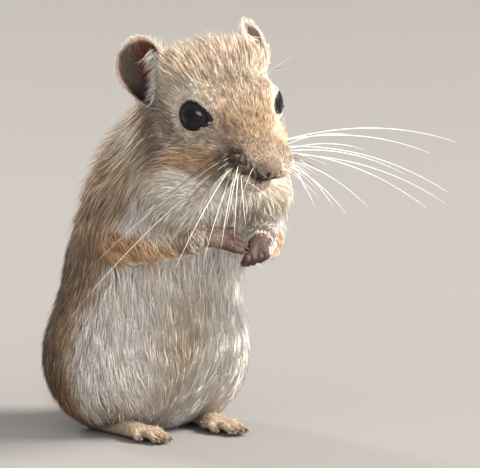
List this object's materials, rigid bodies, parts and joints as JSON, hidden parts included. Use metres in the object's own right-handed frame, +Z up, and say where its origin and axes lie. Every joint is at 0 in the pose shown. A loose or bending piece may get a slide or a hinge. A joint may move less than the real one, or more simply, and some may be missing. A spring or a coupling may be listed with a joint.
{
  "type": "gerbil",
  "caption": "Life-size gerbil sitting up on its haunches with forepaws held at its chest, a long tufted tail on the floor behind it.",
  "frame": {"origin": "on the floor, under the seat, midway between the hind feet's heels", "axes": "+Z up, the animal faces -Y with its right side towards -X, and the tail runs out towards +Y"},
  "size_m": [0.1164, 0.1523, 0.0924],
  "materials": {
    "coat": "short sandy fur, dark-tipped on the back, white below",
    "ear_skin": "thin skin with sparse pale hair",
    "paw_skin": "dark skin with very short grey hair and dark claws",
    "eye": "wet gloss, near black"
  },
  "bodies": {
    "root": {"torso": "coat", "neck": "coat", "head": "coat", "whisker_pad_right": "coat", "whisker_pad_left": "coat", "ear_right": "ear_skin", "ear_left": "ear_skin", "eye_right": "eye", "eye_left": "eye", "upper_arm_right": "coat", "upper_arm_left": "coat", "forearm_right": "coat", "forearm_left": "coat", "forepaw_right": "paw_skin", "forepaw_left": "paw_skin", "thigh_right": "coat", "thigh_left": "coat", "hind_foot_right": "paw_skin", "hind_foot_left": "paw_skin", "tail_root": "coat", "tail_middle": "coat", "tail_brush": "coat"}
  },
  "joints": []
}
